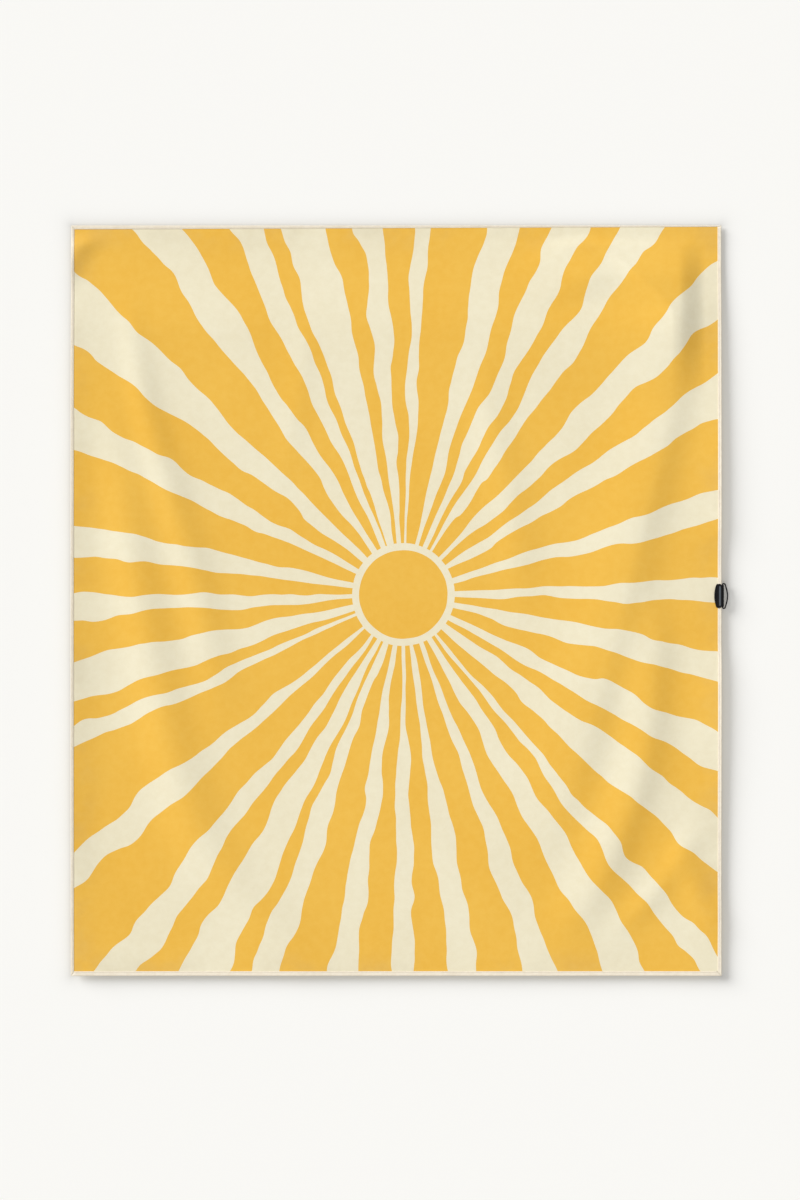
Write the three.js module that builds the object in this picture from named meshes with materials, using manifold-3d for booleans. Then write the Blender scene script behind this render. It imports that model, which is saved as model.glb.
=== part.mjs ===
// A printed blanket hung flat by its top edge: one printed cloth, four strips of binding,
// a corner pocket on the back, and a webbing tab on one side edge that holds a swinging loop.
// Millimetres, +Z up. The printed face looks towards -Y. The origin is on the back of the top
// binding, at its middle, where the blanket is held.
import * as THREE from 'three';
import { mergeVertices } from 'three/addons/utils/BufferGeometryUtils.js';
import Module from 'manifold-3d';

const wasm = await Module();
wasm.setup();

// ---------- driving dimensions ----------
const blanketWidth = 1300;
const blanketLength = 1500;
const clothThickness = 0.9;
const bindingWidth = 8;
const bindingThickness = 0.5;
const layerGap = 0.3; // left between two layers of cloth
const mitreGap = 0.3; // left between two strips of binding at a corner

const threadWidth = 0.9;
const threadThickness = 0.3;
const threadGap = 0.15; // left between a thread and the layer that it lies on
const seamInset = 2.2; // from the binding's inner edge to the middle of its stitching

const pocketAlongTop = 270;
const pocketAlongSide = 250;
const pocketThickness = 0.5;
const pocketHemWidth = 14;
const hemSeamInset = 11; // from the pocket's mouth to its stitching

const tabFromTop = 741; // from the blanket's top edge down to the tab's middle
const tabDepth = 48; // how much of the side edge the tab covers
const tabOverlap = 15; // how far the tab lies over the cloth at its middle
const tabEndOverlap = 10.5; // and at its two ends
const webbingThickness = 0.8;
const tabGap = 0.3; // between the tab and the stitching that it covers
const tabStitchInset = 1.6; // from the tab's ends and the blanket's edge to the tab's stitching
const tabStitchWidth = 7; // across the closed row of stitches

const cordDiameter = 2.8;
const loopHeight = 52;
const loopReach = 13; // how far the loop stands out past the blanket's edge
const loopBendRadius = 2.8; // at the middle of the cord
const loopClearance = 0.3; // between the turning cord and the blanket's edge
const foldEndClearance = 0.4; // from the end of the tab's fold to the loop's bend

const hangOut = 7; // how far the cloth stands out from the wall below its top edge
const calmTop = 50; // depth below the top edge over which the cloth stays flat
const easeTop = 170; // further depth over which the folds come in
const calmTab = 75; // radius round the tab within which the cloth stays flat
const easeTab = 80; // further distance over which the folds come in
const clothSegment = 46; // length of the straight steps that the cloth's curves are made of

// ---------- sizes that follow ----------
const innerHalf = clothThickness / 2 + layerGap;
const bindingHalf = innerHalf + bindingThickness;
const sideEdge = blanketWidth / 2;
const topEdge = bindingWidth / 2;
const bottomEdge = topEdge - blanketLength;
const clothInset = bindingThickness + layerGap;
const foldInner = bindingHalf + threadGap + threadThickness + tabGap;
const foldOuter = foldInner + webbingThickness;
const edgeFromAxis = loopClearance + cordDiameter / 2;
const loopAxisX = sideEdge + edgeFromAxis;
const loopStraight = loopHeight - cordDiameter - 2 * loopBendRadius;
const tabMiddleZ = topEdge - tabFromTop;

// ---------- how the cloth hangs ----------
// Soft crests run down the cloth from its two top corners. Each has a line of points (across
// from the middle, down from the top edge), the half width of the crest and its height.
const folds = [
  { line: [[-545, -60], [-508, -330], [-447, -550], [-390, -760], [-330, -1080]],
    halfWidth: 40, height: 8 },
  { line: [[-590, -180], [-548, -520], [-500, -800], [-430, -1110], [-330, -1310], [-60, -1580]],
    halfWidth: 50, height: 9 },
  { line: [[580, 20], [560, -170], [546, -350], [486, -600], [421, -850], [336, -1130], [190, -1420]],
    halfWidth: 52, height: 9 },
  { line: [[540, -640], [512, -860], [486, -1070], [398, -1300], [270, -1480]],
    halfWidth: 40, height: 8.5 },
  { line: [[150, -220], [196, -420], [236, -600], [262, -820]], halfWidth: 40, height: 4.5 },
  { line: [[-655, 60], [-662, -750], [-655, -1700]], halfWidth: 46, height: 5 },
  { line: [[668, -160], [676, -600], [672, -1330]], halfWidth: 62, height: 7 },
];

const lineSteps = 60;
const foldEnd = 0.35; // the share of a fold's line over which it rises at each end
const foldLines = folds.map(({ line }) =>
  new THREE.SplineCurve(line.map(([x, z]) => new THREE.Vector2(x, z))).getSpacedPoints(lineSteps));

// How far the cloth's middle layer stands in front of where its top edge is held.
function drape(x, z) {
  const down = z - topEdge;
  let height = 0;
  folds.forEach((fold, i) => {
    let nearest = Infinity;
    let along = 0;
    foldLines[i].forEach((point, k) => {
      const distance = Math.hypot(x - point.x, down - point.y);
      if (distance < nearest) {
        nearest = distance;
        along = k / lineSteps;
      }
    });
    const ends = THREE.MathUtils.smoothstep(along, 0, foldEnd)
      * THREE.MathUtils.smoothstep(1 - along, 0, foldEnd);
    height += fold.height * ends * Math.exp(-((nearest / fold.halfWidth) ** 2));
  });
  const fromTop = THREE.MathUtils.smoothstep(-down, calmTop, calmTop + easeTop);
  const tabDistance = Math.hypot(x - sideEdge, z - tabMiddleZ);
  const fromTab = THREE.MathUtils.smoothstep(tabDistance, calmTab, calmTab + easeTab);
  return fromTop * (hangOut + fromTab * height);
}

// ---------- solids ----------
function toSolid(geometry) {
  const bare = geometry.clone();
  bare.deleteAttribute('normal');
  bare.deleteAttribute('uv');
  const merged = mergeVertices(bare, 1e-4);
  return new wasm.Manifold(new wasm.Mesh({
    numProp: 3,
    vertProperties: new Float32Array(merged.attributes.position.array),
    triVerts: new Uint32Array(merged.index.array),
  }));
}

function toGeometry(solid) {
  const { vertProperties, triVerts } = solid.getMesh();
  const geometry = new THREE.BufferGeometry();
  geometry.setAttribute('position', new THREE.BufferAttribute(vertProperties, 3));
  geometry.setIndex(new THREE.BufferAttribute(triVerts, 1));
  return geometry;
}

// The middle of the draped cloth, as points on a grid a little larger than the blanket.
const gridWidth = blanketWidth + 2 * clothSegment;
const gridLength = blanketLength + 2 * clothSegment;
const grid = new THREE.PlaneGeometry(
  gridWidth, gridLength,
  Math.round(gridWidth / clothSegment), Math.round(gridLength / clothSegment));
const gridPoints = Array.from({ length: grid.attributes.position.count }, (_, i) => {
  const x = grid.attributes.position.getX(i);
  const z = grid.attributes.position.getY(i) + (topEdge + bottomEdge) / 2;
  return [x, -bindingHalf - drape(x, z), z];
});

// One draped layer. back and front say where its two faces lie, as distances in front of the
// middle of the cloth. All layers share the grid, so the gap between two is even all over.
function layer(back, front) {
  const count = gridPoints.length;
  const positions = [front, back].flatMap((offset) =>
    gridPoints.flatMap(([x, y, z]) => [x, y - offset, z]));
  const index = [];
  const edges = new Set();
  for (let i = 0; i < grid.index.count; i += 3) {
    const corners = [0, 1, 2].map((k) => grid.index.getX(i + k));
    index.push(...corners, ...corners.map((corner) => corner + count).reverse());
    corners.forEach((from, k) => edges.add(`${from} ${corners[(k + 1) % 3]}`));
  }
  for (const edge of edges) {
    const [from, to] = edge.split(' ').map(Number);
    if (!edges.has(`${to} ${from}`)) {
      index.push(from, from + count, to, to, from + count, to + count);
    }
  }
  const geometry = new THREE.BufferGeometry();
  geometry.setAttribute('position', new THREE.Float32BufferAttribute(positions, 3));
  geometry.setIndex(index);
  return toSolid(geometry);
}

const toVectors = (points) => points.map(([x, z]) => new THREE.Vector2(x, z));

// A block with an outline in X and Z, deep enough in Y to reach through every layer.
function cutter(points) {
  const depth = 200;
  const block = new THREE.ExtrudeGeometry(
    new THREE.Shape(toVectors(points)), { depth, bevelEnabled: false });
  return toSolid(block.rotateX(Math.PI / 2).translate(0, depth / 2, 0));
}

function rectangle(left, right, bottom, top) {
  return [[left, bottom], [right, bottom], [right, top], [left, top]];
}

// The rectangle of the whole blanket, drawn in by a distance on every side.
function blanketOutline(inset) {
  return rectangle(-sideEdge + inset, sideEdge - inset, bottomEdge + inset, topEdge - inset);
}

// ---------- the cloth and its binding ----------
function facePanel() {
  const cloth = layer(-clothThickness / 2, clothThickness / 2);
  return cloth.intersect(cutter(blanketOutline(clothInset)));
}

// The four sides, each with its two corners in order round the edge and the way in to the cloth.
const sides = {
  top: { from: [-sideEdge, topEdge], to: [sideEdge, topEdge], inward: [0, -1] },
  right: { from: [sideEdge, topEdge], to: [sideEdge, bottomEdge], inward: [-1, 0] },
  bottom: { from: [sideEdge, bottomEdge], to: [-sideEdge, bottomEdge], inward: [0, 1] },
  left: { from: [-sideEdge, bottomEdge], to: [-sideEdge, topEdge], inward: [1, 0] },
};

// A strip along one side, between two distances from the edge. Its ends are mitred, and spare
// is the further length that each end is cut back by.
function sideStrip({ from, to, inward }, outer, inner, spare) {
  const along = new THREE.Vector2(to[0] - from[0], to[1] - from[1]).normalize();
  const place = (corner, direction, distance) => [
    corner[0] + direction * along.x * (distance + spare) + inward[0] * distance,
    corner[1] + direction * along.y * (distance + spare) + inward[1] * distance,
  ];
  return [place(from, 1, outer), place(to, -1, outer), place(to, -1, inner), place(from, 1, inner)];
}

const bindingWrap = layer(-bindingHalf, bindingHalf);
const clothRoom = layer(-innerHalf, innerHalf).intersect(cutter(blanketOutline(bindingThickness)));
const seamLayer = layer(bindingHalf + threadGap, bindingHalf + threadGap + threadThickness);

// A strip of binding folded round the cloth's edge, open towards the middle of the blanket.
function binding(side) {
  const strip = cutter(sideStrip(side, 0, bindingWidth, mitreGap * Math.SQRT1_2));
  return bindingWrap.intersect(strip).subtract(clothRoom);
}

function bindingSeam(side) {
  const middle = bindingWidth - seamInset;
  return seamLayer.intersect(cutter(sideStrip(
    side, middle - threadWidth / 2, middle + threadWidth / 2, mitreGap)));
}

// ---------- the corner pocket ----------
// A three-cornered patch behind the right end of the top edge. Its two short sides run along
// the bindings, and its long side is the mouth, with a hem turned onto the back.
const pocketInset = bindingWidth + layerGap;
const pocketCorner = new THREE.Vector2(sideEdge - pocketInset, topEdge - pocketInset);
const mouthTop = new THREE.Vector2(sideEdge - pocketAlongTop, pocketCorner.y);
const mouthSide = new THREE.Vector2(pocketCorner.x, topEdge - pocketAlongSide);
const pocketSides = mouthTop.clone().sub(mouthSide);
const pocketReach = Math.abs(pocketSides.x * pocketSides.y) / pocketSides.length();

// The part of the patch between two distances from its mouth.
function pocketOutline(near, far) {
  const cross = (start, distance) => start.clone().lerp(pocketCorner, distance / pocketReach).toArray();
  return [cross(mouthTop, near), cross(mouthTop, far), cross(mouthSide, far), cross(mouthSide, near)];
}

const pocketFront = -clothThickness / 2 - layerGap;
const pocketBack = pocketFront - pocketThickness;
const hemBack = pocketBack - pocketThickness;

function cornerPocket() {
  const patchOutline = [mouthTop, mouthSide, pocketCorner].map((point) => point.toArray());
  const patch = layer(pocketBack, pocketFront).intersect(cutter(patchOutline));
  const hem = layer(hemBack, (pocketFront + pocketBack) / 2);
  return patch.add(hem.intersect(cutter(pocketOutline(0, pocketHemWidth))));
}

function pocketSeam() {
  const thread = layer(hemBack - threadGap - threadThickness, hemBack - threadGap);
  return thread.intersect(cutter(pocketOutline(
    hemSeamInset - threadWidth / 2, hemSeamInset + threadWidth / 2)));
}

// ---------- the tab and its loop ----------
// Both are drawn round the middle of the loop's straight side, which is the line it turns on.
const tabInner = -edgeFromAxis - tabOverlap;
const tabEndInner = -edgeFromAxis - tabEndOverlap;
const tabHalf = tabDepth / 2;

// The inner edge bows out like a barrel's side, and the corners towards the loop are cut off,
// so that the loop's bends have room to swing.
function tabOutline() {
  const foldHalf = loopStraight / 2 - foldEndClearance;
  const cut = tabHalf - foldHalf;
  const outline = new THREE.Shape();
  outline.moveTo(tabEndInner, tabHalf);
  outline.quadraticCurveTo(2 * tabInner - tabEndInner, 0, tabEndInner, -tabHalf);
  outline.lineTo(-edgeFromAxis - cut, -tabHalf);
  outline.lineTo(-edgeFromAxis, -foldHalf);
  outline.lineTo(foldOuter + cut, -foldHalf);
  outline.lineTo(foldOuter + cut, foldHalf);
  outline.lineTo(-edgeFromAxis, foldHalf);
  outline.lineTo(-edgeFromAxis - cut, tabHalf);
  return outline.getPoints(8).map((point) => point.toArray());
}

// Webbing folded round the blanket's edge, with the loop's straight side inside the fold.
function loopTab() {
  const section = new THREE.Shape();
  section.moveTo(tabInner, -foldOuter);
  section.absarc(0, 0, foldOuter, -Math.PI / 2, Math.PI / 2, false);
  section.lineTo(tabInner, foldOuter);
  section.lineTo(tabInner, foldInner);
  section.absarc(0, 0, foldInner, Math.PI / 2, -Math.PI / 2, true);
  section.lineTo(tabInner, -foldInner);
  const folded = new THREE.ExtrudeGeometry(
    section, { depth: tabDepth, bevelEnabled: false, curveSegments: 10 });
  return toSolid(folded.translate(0, 0, -tabHalf)).intersect(cutter(tabOutline()));
}

// A closed row of stitches on one face of the tab: facing is -1 on its front and 1 on its back.
function tabStitching(facing) {
  const right = -edgeFromAxis - tabStitchInset;
  const end = tabHalf - tabStitchInset;
  const row = (inset) => rectangle(
    right - tabStitchWidth + inset, right - inset, inset - end, end - inset);
  const shape = new THREE.Shape(toVectors(row(0)));
  shape.holes.push(new THREE.Path(toVectors(row(threadWidth))));
  const thread = new THREE.ExtrudeGeometry(shape, { depth: threadThickness, bevelEnabled: false });
  thread.rotateX(Math.PI / 2).translate(0, threadThickness / 2, 0);
  return toSolid(thread.translate(0, facing * (foldOuter + threadGap + threadThickness / 2), 0));
}

// The line of the loop's cord: a straight side, a tight bend at each end and a bowed side. It
// starts at the middle of the straight side, so that its two ends meet squarely.
function loopLine() {
  const half = loopStraight / 2;
  const bowFrom = 2 * loopBendRadius;
  const bowTo = sideEdge + loopReach - cordDiameter / 2 - loopAxisX;
  const at = (x, z) => new THREE.Vector3(x, 0, z);
  const straight = (share) => at(0, half * share);
  const bowed = (share) => at(
    bowFrom + (bowTo - bowFrom) * Math.cos(share * Math.PI / 2), half * share);
  const bend = (eighths) => at(
    loopBendRadius * (1 + Math.cos(eighths * Math.PI / 4)),
    half * Math.sign(eighths) + loopBendRadius * Math.sin(eighths * Math.PI / 4));
  return new THREE.CatmullRomCurve3([
    ...[0, 0.5, 0.9].map(straight),
    ...[4, 3, 2, 1].map(bend),
    ...[1, 0.6, 0.3, 0, -0.3, -0.6, -1].map(bowed),
    ...[-1, -2, -3, -4].map(bend),
    ...[-0.9, -0.5].map(straight),
  ], true);
}

function elasticLoop() {
  const section = new THREE.Shape();
  section.absarc(0, 0, cordDiameter / 2, 0, Math.PI * 2, false);
  const cord = new THREE.ExtrudeGeometry(
    section, { steps: 64, curveSegments: 4, extrudePath: loopLine() });
  const wall = cord.groups[1];
  const positions = cord.attributes.position.array.slice(wall.start * 3, (wall.start + wall.count) * 3);
  const closed = new THREE.BufferGeometry();
  closed.setAttribute('position', new THREE.BufferAttribute(positions, 3));
  return closed;
}

// ---------- the blanket ----------
function fabric(color, roughness) {
  return new THREE.MeshStandardMaterial({ color, roughness, metalness: 0 });
}
const cream = 0xf3e7d3;
const black = 0x17171a;

const blanket = new THREE.Group();

function addPiece(parent, name, geometry, material) {
  const mesh = new THREE.Mesh(geometry, material);
  mesh.name = name;
  parent.add(mesh);
}

addPiece(blanket, 'face_panel', toGeometry(facePanel()), fabric(0xeebd50, 0.9));
for (const [name, side] of Object.entries(sides)) {
  addPiece(blanket, `binding_${name}`, toGeometry(binding(side)), fabric(cream, 0.85));
  addPiece(blanket, `binding_seam_${name}`, toGeometry(bindingSeam(side)), fabric(0xe9dcc2, 0.7));
}
addPiece(blanket, 'corner_pocket', toGeometry(cornerPocket()), fabric(0xeee5c9, 0.9));
addPiece(blanket, 'pocket_seam', toGeometry(pocketSeam()), fabric(0xe9dcc2, 0.7));

const edgeTab = new THREE.Group();
edgeTab.position.set(loopAxisX, -bindingHalf - drape(sideEdge, tabMiddleZ), tabMiddleZ);
blanket.add(edgeTab);
addPiece(edgeTab, 'loop_tab', toGeometry(loopTab()), fabric(black, 0.75));
addPiece(edgeTab, 'tab_stitching_front', toGeometry(tabStitching(-1)), fabric(black, 0.6));
addPiece(edgeTab, 'tab_stitching_back', toGeometry(tabStitching(1)), fabric(black, 0.6));
addPiece(edgeTab, 'elastic_loop', elasticLoop(), fabric(black, 0.55));

export default blanket;
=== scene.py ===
"""A printed picnic blanket that hangs flat by its top edge.

One printed cloth, four strips of binding with their stitching, a corner pocket on the back, and
a webbing tab on the right edge that holds a swinging loop of elastic cord. Metres, +Z up. The
printed face looks towards -Y, and the origin is on the back of the top binding, at its middle.
"""

import math

import bpy
import numpy as np
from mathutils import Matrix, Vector


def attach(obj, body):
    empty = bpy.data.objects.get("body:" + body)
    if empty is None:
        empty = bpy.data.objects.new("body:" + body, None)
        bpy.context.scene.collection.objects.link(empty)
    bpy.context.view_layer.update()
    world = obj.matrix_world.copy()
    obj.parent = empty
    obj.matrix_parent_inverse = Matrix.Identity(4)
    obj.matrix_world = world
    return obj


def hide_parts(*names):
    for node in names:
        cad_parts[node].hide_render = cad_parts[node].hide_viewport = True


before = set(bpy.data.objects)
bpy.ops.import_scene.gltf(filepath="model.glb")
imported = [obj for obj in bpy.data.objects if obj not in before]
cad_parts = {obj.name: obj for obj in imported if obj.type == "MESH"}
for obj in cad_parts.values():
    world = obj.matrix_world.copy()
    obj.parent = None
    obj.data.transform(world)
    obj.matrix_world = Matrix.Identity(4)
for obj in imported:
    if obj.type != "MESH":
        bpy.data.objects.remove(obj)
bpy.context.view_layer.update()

MM = 0.001

# ---------- sizes, as in the CAD ----------
BLANKET_WIDTH = 1300 * MM
BLANKET_LENGTH = 1500 * MM
CLOTH_THICKNESS = 0.9 * MM
BINDING_WIDTH = 8 * MM
BINDING_THICKNESS = 0.5 * MM
LAYER_GAP = 0.3 * MM
MITRE_GAP = 0.05 * MM
SEAM_INSET = 2.2 * MM
POCKET_ALONG_TOP = 270 * MM
POCKET_ALONG_SIDE = 250 * MM
POCKET_THICKNESS = 0.5 * MM
POCKET_HEM_WIDTH = 14 * MM
HEM_SEAM_INSET = 11 * MM
TAB_FROM_TOP = 741 * MM
TAB_DEPTH = 48 * MM
TAB_OVERLAP = 15 * MM
TAB_END_OVERLAP = 10.5 * MM
WEBBING_THICKNESS = 0.8 * MM
TAB_GAP = 0.75 * MM  # between the binding and the tab, where the stitching lies
TAB_STITCH_INSET = 1.6 * MM
TAB_STITCH_WIDTH = 7 * MM
CORD_DIAMETER = 2.8 * MM
LOOP_HEIGHT = 52 * MM
LOOP_REACH = 13 * MM
LOOP_BEND_RADIUS = 2.8 * MM
LOOP_CLEARANCE = 0.3 * MM
FOLD_END_CLEARANCE = 0.4 * MM
HANG_OUT = 7 * MM  # how far the hung cloth stands in front of its held top edge

INNER_HALF = CLOTH_THICKNESS / 2 + LAYER_GAP
BINDING_HALF = INNER_HALF + BINDING_THICKNESS
SIDE_EDGE = BLANKET_WIDTH / 2
TOP_EDGE = BINDING_WIDTH / 2
BOTTOM_EDGE = TOP_EDGE - BLANKET_LENGTH
MIDDLE_HEIGHT = (TOP_EDGE + BOTTOM_EDGE) / 2
CLOTH_INSET = BINDING_THICKNESS + LAYER_GAP
EDGE_FROM_AXIS = LOOP_CLEARANCE + CORD_DIAMETER / 2
LOOP_AXIS_X = SIDE_EDGE + EDGE_FROM_AXIS
LOOP_STRAIGHT = LOOP_HEIGHT - CORD_DIAMETER - 2 * LOOP_BEND_RADIUS
TAB_MIDDLE_Z = TOP_EDGE - TAB_FROM_TOP
FRONT, BACK = -1, 1

# ---------- camera ----------
scene = bpy.context.scene
CAMERA_DISTANCE = 6.667
CAMERA_ACROSS = 0.0074
CAMERA_HEIGHT = MIDDLE_HEIGHT + 0.001
CAMERA_LENS = 100  # in millimetres, as is the sensor
CAMERA_SENSOR = 36
camera = bpy.data.objects.new("camera", bpy.data.cameras.new("camera"))
scene.collection.objects.link(camera)
scene.camera = camera
camera.data.lens = CAMERA_LENS
camera.data.sensor_width = CAMERA_SENSOR
camera.location = (CAMERA_ACROSS, -CAMERA_DISTANCE, CAMERA_HEIGHT)
camera.rotation_euler = (math.pi / 2, 0, 0)


# ---------- how the cloth hangs ----------
def smooth_step(value, low, high):
    share = np.clip((value - low) / (high - low), 0, 1)
    return share * share * (3 - 2 * share)


STEPS_BETWEEN_POINTS = 60  # of the line before it is spaced evenly


def smooth_line(points, count):
    """Evenly spaced points on the smooth line through the given ones."""
    points = np.array(points, float)
    padded = np.vstack([points[:1], points, points[-1:]])
    share = np.linspace(0, 1, STEPS_BETWEEN_POINTS, endpoint=False)[:, None]
    pieces = []
    for k in range(len(points) - 1):
        before, start, end, after = padded[k : k + 4]
        curve = (
            2 * start
            + (end - before) * share
            + (2 * before - 5 * start + 4 * end - after) * share**2
            + (3 * start - before - 3 * end + after) * share**3
        )
        pieces.append(curve / 2)
    line = np.vstack([*pieces, points[-1:]])
    steps = np.linalg.norm(np.diff(line, axis=0), axis=1)
    length = np.concatenate([[0], np.cumsum(steps)])
    wanted = np.linspace(0, length[-1], count)
    return np.column_stack([np.interp(wanted, length, column) for column in line.T])


# Soft crests run down the cloth from its two top corners. Each has a line of points (across from
# the middle, down from the top edge), the crest's half width at the line's two ends, its height,
# and how many times as wide its left flank is as its right. All are in millimetres.
FOLDS = [
    ([(-545, -60), (-508, -330), (-447, -550), (-390, -760), (-330, -1080)], 24, 46, 8, 1),
    ([(-590, -180), (-548, -520), (-500, -800), (-430, -1110), (-330, -1310), (-60, -1580)],
     42, 56, 9, 1),
    ([(580, 20), (560, -170), (546, -350), (486, -600), (421, -850), (336, -1130), (190, -1420)],
     36, 56, 9, 2),
    ([(540, -640), (512, -860), (490, -1070), (406, -1300), (280, -1480)], 40, 42, 9.5, 1.3),
    ([(150, -220), (196, -420), (236, -600), (262, -820)], 34, 44, 4.5, 1),
    ([(-170, -160), (-196, -330), (-222, -520)], 26, 32, 1.8, 1),
    ([(-674, 60), (-678, -750), (-674, -1700)], 60, 60, 9, 1),
    ([(668, -160), (676, -600), (672, -1330)], 62, 62, 7, 1),
]  # fmt: skip
# Smaller folds near the corners, which reach closer to the top edge.
CREASES = [
    ([(-555, 60), (-630, -36), (-708, -160)], 24, 24, 7, 1),
    ([(330, 10), (372, -70), (400, -160)], 48, 48, 4.5, 2),
    ([(560, -1210), (600, -1330), (675, -1450)], 30, 30, 4.5, 1),
    ([(410, -1430), (520, -1330), (620, -1170)], 26, 26, 3.5, 1),
]
FOLD_POINTS = 90
FOLD_END = 0.35  # the share of a fold's line over which it rises at each end


def crest(x, down, line, first_half_width, last_half_width, height, left_share):
    """How far one fold lifts the cloth at each point."""
    points = smooth_line(line, FOLD_POINTS) * MM
    nearest = np.full(x.shape, np.inf)
    along = np.zeros(x.shape)
    on_left = np.zeros(x.shape, bool)
    for k, (start, step) in enumerate(zip(points, np.diff(points, axis=0))):
        from_x, from_down = x - start[0], down - start[1]
        share = np.clip((from_x * step[0] + from_down * step[1]) / (step @ step), 0, 1)
        distance = np.hypot(from_x - share * step[0], from_down - share * step[1])
        closer = distance < nearest
        nearest[closer] = distance[closer]
        along[closer] = (k + share[closer]) / (FOLD_POINTS - 1)
        on_left[closer] = (from_x * step[1] - from_down * step[0])[closer] > 0
    half_width = first_half_width + (last_half_width - first_half_width) * along
    half_width = half_width * np.where(on_left, left_share, 1) * MM
    ends = smooth_step(along, 0, FOLD_END) * smooth_step(1 - along, 0, FOLD_END)
    return height * MM * ends * np.exp(-((nearest / half_width) ** 2))


def ripple(x, z, shortest, longest, count, seed):
    """A gentle irregular waviness of height about 1, made of waves in seeded directions."""
    chosen = np.random.default_rng(seed)
    total = np.zeros(x.shape)
    for _ in range(count):
        heading = chosen.uniform(0, math.pi)
        wavelength = chosen.uniform(shortest, longest)
        phase = chosen.uniform(0, 2 * math.pi)
        run = x * math.cos(heading) + z * math.sin(heading)
        total += np.sin(2 * math.pi * run / wavelength + phase)
    return total / math.sqrt(count)


# The mouth of the corner pocket behind the cloth, where the cloth bends as on a hinge.
POCKET_INSET = BINDING_WIDTH + LAYER_GAP
POCKET_CORNER = np.array([SIDE_EDGE - POCKET_INSET, TOP_EDGE - POCKET_INSET])
MOUTH_TOP = np.array([SIDE_EDGE - POCKET_ALONG_TOP, POCKET_CORNER[1]])
MOUTH_SIDE = np.array([POCKET_CORNER[0], TOP_EDGE - POCKET_ALONG_SIDE])

CREASE_HEIGHT = 17.5 * MM
CREASE_SOFTNESS = 7 * MM
CREASE_LEFT_FLANK = 110 * MM
CREASE_LAST_X = 0.553  # where the crease stops following the mouth and runs straight down
CREASE_FOOT_X = 0.615  # where the steep side behind it ends
CREASE_STEEP_WIDTH = 52 * MM
CREASE_EASY_SHARE = 0.3  # of the height, lost evenly before the steep side
CREASE_GROWS = (0.004, 0.115)  # from and to these distances down
CREASE_FADES = (0.17, 0.36)
EXPONENT_LIMIT = 40


def pocket_crease(x, z):
    """The ridge along the pocket's mouth. It grows towards the mouth's lower end, turns down the
    cloth there and fades. Its left side is long and gentle, and its right side is steep."""
    down = TOP_EDGE - z
    across_down = (MOUTH_SIDE[0] - MOUTH_TOP[0]) / (MOUTH_TOP[1] - MOUTH_SIDE[1])
    mouth_x = MOUTH_TOP[0] + (down - POCKET_INSET) * across_down
    past_turn = (CREASE_LAST_X - mouth_x) / CREASE_SOFTNESS
    past_turn = np.clip(past_turn, -EXPONENT_LIMIT, EXPONENT_LIMIT)
    crest_x = CREASE_LAST_X - CREASE_SOFTNESS * np.log1p(np.exp(past_turn))
    height = smooth_step(down, *CREASE_GROWS) * (1 - smooth_step(down, *CREASE_FADES))
    to_left = np.exp(-np.clip(crest_x - x, 0, None) / CREASE_LEFT_FLANK)
    easy = np.clip((x - crest_x) / (CREASE_FOOT_X - crest_x), 0, 1)
    steep_from = np.maximum(crest_x, CREASE_FOOT_X - CREASE_STEEP_WIDTH)
    steep = smooth_step(x, steep_from, CREASE_FOOT_X)
    to_right = 1 - CREASE_EASY_SHARE * easy - (1 - CREASE_EASY_SHARE) * steep
    return CREASE_HEIGHT * height * np.where(x < crest_x, to_left, to_right)


# Each waviness of the cloth: its height, its shortest and longest wave, their count and a seed.
WAVES = [(0.45 * MM, 0.16, 0.42, 14, 11), (0.10 * MM, 0.05, 0.12, 18, 23)]
# The distances from the top edge over which the cloth comes forward and its creases begin, and
# those from the tab over which its folds begin.
HANG_BEGINS = (0.05, 0.22)
CREASES_BEGIN = (0.012, 0.045)
FOLDS_BEGIN = (0.075, 0.155)


def stand_out(x, z):
    """How far the cloth's middle layer stands in front of where its top edge is held."""
    x, z = np.asarray(x, float), np.asarray(z, float)
    down = z - TOP_EDGE
    height = sum(crest(x, down, *fold) for fold in FOLDS)
    for wave_height, *wave in WAVES:
        height = height + wave_height * ripple(x, z, *wave)
    from_top = smooth_step(-down, *HANG_BEGINS)
    tab_distance = np.hypot(x - SIDE_EDGE, z - TAB_MIDDLE_Z)
    from_tab = smooth_step(tab_distance, *FOLDS_BEGIN)
    from_edge = smooth_step(-down, *CREASES_BEGIN)
    near_top = pocket_crease(x, z) + sum(crest(x, down, *fold) for fold in CREASES)
    return from_top * (HANG_OUT + from_tab * height) + from_edge * near_top


def cloth_point(x, z, lift):
    """The point of the hung cloth at x and z, lift in front of its middle layer."""
    return np.stack([x, -BINDING_HALF - stand_out(x, z) - lift, z], axis=-1)


# ---------- shader maths ----------
def linear(red, green, blue):
    """A screen colour from 0 to 255, as the shader's own numbers."""
    parts = [c / 255 for c in (red, green, blue)]
    return tuple(p / 12.92 if p <= 0.04045 else ((p + 0.055) / 1.055) ** 2.4 for p in parts)


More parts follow.
